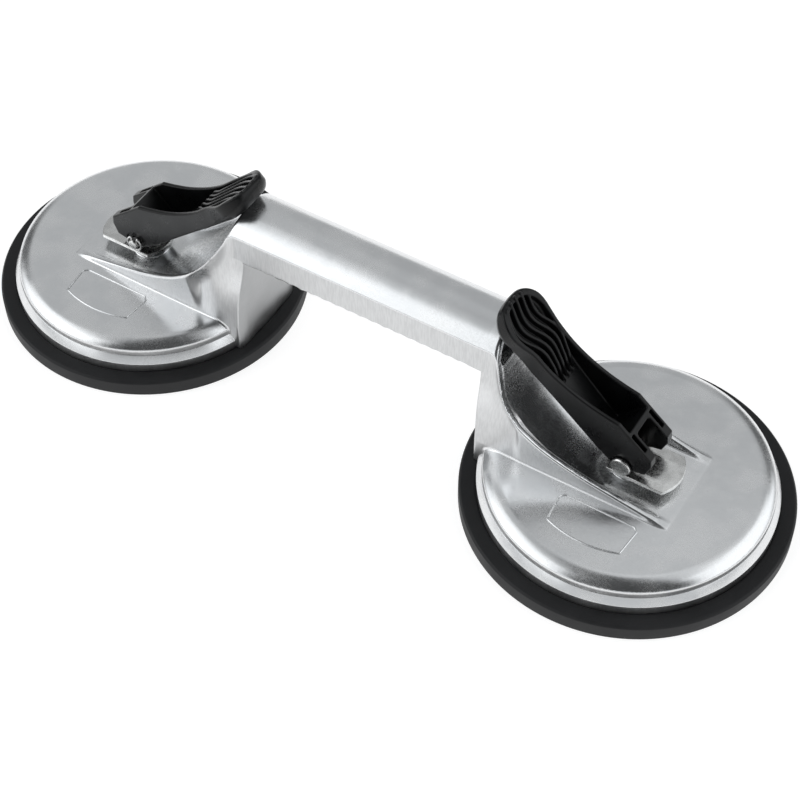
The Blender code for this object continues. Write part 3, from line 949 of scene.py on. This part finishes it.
def black_plastic():
    n = new_material("black_plastic_moulded")
    clouds = n.noise(120, 3, 0.6)
    grain = n.noise(3200, 2, 0.7)
    colour = n.mix(n.spread(clouds, 0.3, 0.7, 0, 1), (0.003, 0.0031, 0.0034), (0.006, 0.0062, 0.0066))
    roughness = n.spread(clouds, 0.3, 0.7, 0.26, 0.35)
    return n.finish(colour, roughness, n.bump(grain, 0.00003, 0.5), Specular_IOR_Level=0.26)


# The pieces in place.

ALUMINIUM, STEEL, RUBBER, PLASTIC = cast_aluminium(), bright_steel(), black_rubber(), black_plastic()
LEVER_ANGLE = radians(44)
ROOT = ("root", "root")
STUDS = ("stud_a", "stud_b")
LEVERS = ("lever_a", "lever_b")


def dress(obj, material, slot, body, *stands_for):
    obj.data.materials.clear()
    obj.data.materials.append(material)
    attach(obj, body)
    if stands_for:
        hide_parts(*stands_for)


def place_pair(obj, raise_by, material, slot, bodies, node):
    """Put a piece drawn about cup A's axis on cup A, and its twin, turned half round, on cup B."""
    obj.data.transform(Matrix.Translation((CUP * MM, 0, raise_by * MM)))
    twin = mesh_object(obj.name[:-1] + "b", obj.data.copy())
    twin.data.transform(Matrix.Rotation(pi, 4, "Z"))
    for piece, letter, body in zip((obj, twin), "ab", bodies):
        dress(piece, material, slot, body, *([f"{node}_{letter}"] if node else []))


dress(make_cast_frame(), ALUMINIUM, "cast_aluminium", "root", "cast_frame")
lever = make_lever()
lever.data.transform(Matrix.Rotation(LEVER_ANGLE, 4, "Y") @ Matrix.Rotation(pi, 4, "Z"))
place_pair(lever, PIVOT, PLASTIC, "black_plastic", LEVERS, "lever")
place_pair(make_dish_edge(), 0.0, ALUMINIUM, "cast_aluminium", ROOT, None)
place_pair(make_pad(), 0.0, RUBBER, "black_rubber", ROOT, "rubber_pad")
place_pair(make_wear_plate(), 0.0, STEEL, "plated_steel", ROOT, "pressure_plate")
place_pair(make_stud(), 0.0, STEEL, "plated_steel", STUDS, "draw_stud")
place_pair(make_pin(), PIVOT, STEEL, "plated_steel", STUDS, "pivot_pin")
place_pair(make_clip(), PIVOT, STEEL, "plated_steel", STUDS, "retaining_clip")

# The label panels are both on the minus Y side, so they aren't turned.
for letter, cup in (("a", CUP), ("b", -CUP)):
    dress(make_label_line(letter, cup), ALUMINIUM, "cast_aluminium", "root")
for letter in "ab":
    for node in ("insert_disc", "stud_nut"):
        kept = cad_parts[f"{node}_{letter}"]
        kept.data.materials.clear()
        kept.data.materials.append(STEEL)

# The stage. The world's level is BACK_LEFT on the left of the view and BACK_LOW on its right, where it rises
# to BACK_HIGH overhead. Each patch in STUDIO is (level, range of turn from the camera's side, its softness,
# range of rise above the floor, its softness), in radians. The dark patch runs from DARK_START to DARK_REACH
# round the arch from the camera's side over the top, and its half width falls from the first of DARK_WIDTHS
# to the second.
BACK_LEFT, BACK_LOW, BACK_HIGH = 0.54, 0.47, 0.80
STUDIO = (
    (1.35, (0.62, 2.30), 0.15, (0.08, 1.20), 0.2),
    (0.12, (2.05, 2.75), 0.20, (-0.20, 0.72), 0.15),
    (0.68, (-0.20, 0.80), 0.15, (0.0, 0.66), 0.12),
)
DARK_LEVEL = 0.06
DARK_START, DARK_REACH = 0.36, 1.91
DARK_WIDTHS = (0.60, 0.12)
CAMERA_AZIMUTH, CAMERA_ELEVATION, CAMERA_ROLL = radians(31.731), radians(50.183), radians(-0.304)
CAMERA_DISTANCE, CAMERA_SHIFT_RIGHT, CAMERA_SHIFT_UP = 0.70799, 0.007661, -0.006539
CAMERA_LENS = 84.28
FLOOR_REACH = 4
LEFT_BOX_PLACE, LEFT_BOX_POWER = (-0.79, -0.59, 0.69), 0.8


def make_camera():
    back = Vector(
        (
            sin(CAMERA_AZIMUTH) * cos(CAMERA_ELEVATION),
            -cos(CAMERA_AZIMUTH) * cos(CAMERA_ELEVATION),
            sin(CAMERA_ELEVATION),
        )
    )
    level = Vector((cos(CAMERA_AZIMUTH), sin(CAMERA_AZIMUTH), 0.0))
    upright = back.cross(level)
    right = level * cos(CAMERA_ROLL) + upright * sin(CAMERA_ROLL)
    up = upright * cos(CAMERA_ROLL) - level * sin(CAMERA_ROLL)
    data = bpy.data.cameras.new("camera")
    data.lens = CAMERA_LENS
    data.sensor_width = 36.0
    data.clip_start = 0.01
    camera = mesh_object("camera", data)
    place = back * CAMERA_DISTANCE + right * CAMERA_SHIFT_RIGHT + up * CAMERA_SHIFT_UP
    camera.matrix_world = Matrix.Translation(place) @ Matrix((right, up, back)).transposed().to_4x4()
    bpy.context.scene.camera = camera


def make_floor():
    mesh = bpy.data.meshes.new("floor")
    far = FLOOR_REACH
    mesh.from_pydata([(-far, -far, 0), (far, -far, 0), (far, far, 0), (-far, far, 0)], [], [(0, 1, 2, 3)])
    floor = mesh_object("floor", mesh)
    n = new_material("floor_white")
    n.finish(Base_Color=(0.35, 0.35, 0.35, 1.0), Roughness=0.9)
    n.finish(Emission_Color=(1, 1, 1, 1), Emission_Strength=0.84)
    mesh.materials.append(n.holder)


def make_light(name, place, target, size, power):
    data = bpy.data.lights.new(name, "AREA")
    data.shape = "RECTANGLE"
    data.size, data.size_y = size
    data.energy = power
    light = mesh_object(name, data)
    light.location = place
    light.rotation_mode = "QUATERNION"
    light.rotation_quaternion = (Vector(target) - Vector(place)).to_track_quat("-Z", "Y")


def make_world():
    """A light tent: grey all round, a dark arch on the camera's side and the patches of STUDIO beside it."""
    world = bpy.data.worlds.new("studio")
    bpy.context.scene.world = world
    n = Nodes(world, "Background", "Generated")
    ahead = n.along((sin(CAMERA_AZIMUTH), -cos(CAMERA_AZIMUTH), 0.0))
    aside = n.along((cos(CAMERA_AZIMUTH), sin(CAMERA_AZIMUTH), 0.0))
    turn = n.math("ABSOLUTE", n.math("ARCTAN2", aside, ahead))
    rise = n.math("ARCSINE", n.along((0.0, 0.0, 1.0)))
    overhead = n.spread(rise, 0.80, 1.10, 0.0, BACK_HIGH - BACK_LOW)
    overhead = n.math("MULTIPLY", overhead, n.spread(aside, -0.03, 0.10, 0, 1))
    light = n.math("ADD", overhead, n.spread(aside, -0.15, 0.10, BACK_LEFT, BACK_LOW))
    for level, turn_range, turn_soft, rise_range, rise_soft in STUDIO:
        share = n.between(turn, *turn_range, turn_soft)
        share = n.math("MULTIPLY", share, n.between(rise, *rise_range, rise_soft))
        light = n.blended(share, light, level)
    arch = n.math("ARCTAN2", n.along((0.0, 0.0, 1.0)), ahead)
    dark_width = n.spread(arch, 0.7, DARK_REACH, *DARK_WIDTHS)
    beyond = n.math("SUBTRACT", n.math("ABSOLUTE", aside), dark_width)
    share = n.spread(beyond, -0.07, 0.07, 1, 0)
    share = n.math("MULTIPLY", share, n.between(arch, DARK_START, DARK_REACH, 0.12))
    light = n.blended(share, light, DARK_LEVEL)
    n.link(light, n.shader.inputs["Strength"])
    n.shader.inputs["Color"].default_value = (0.965, 0.985, 1.0, 1.0)


bpy.context.scene.view_settings.view_transform = "Standard"
make_camera()
make_floor()
make_world()
make_light("left_box", LEFT_BOX_PLACE, (0, 0, 0), (0.5, 0.5), LEFT_BOX_POWER)
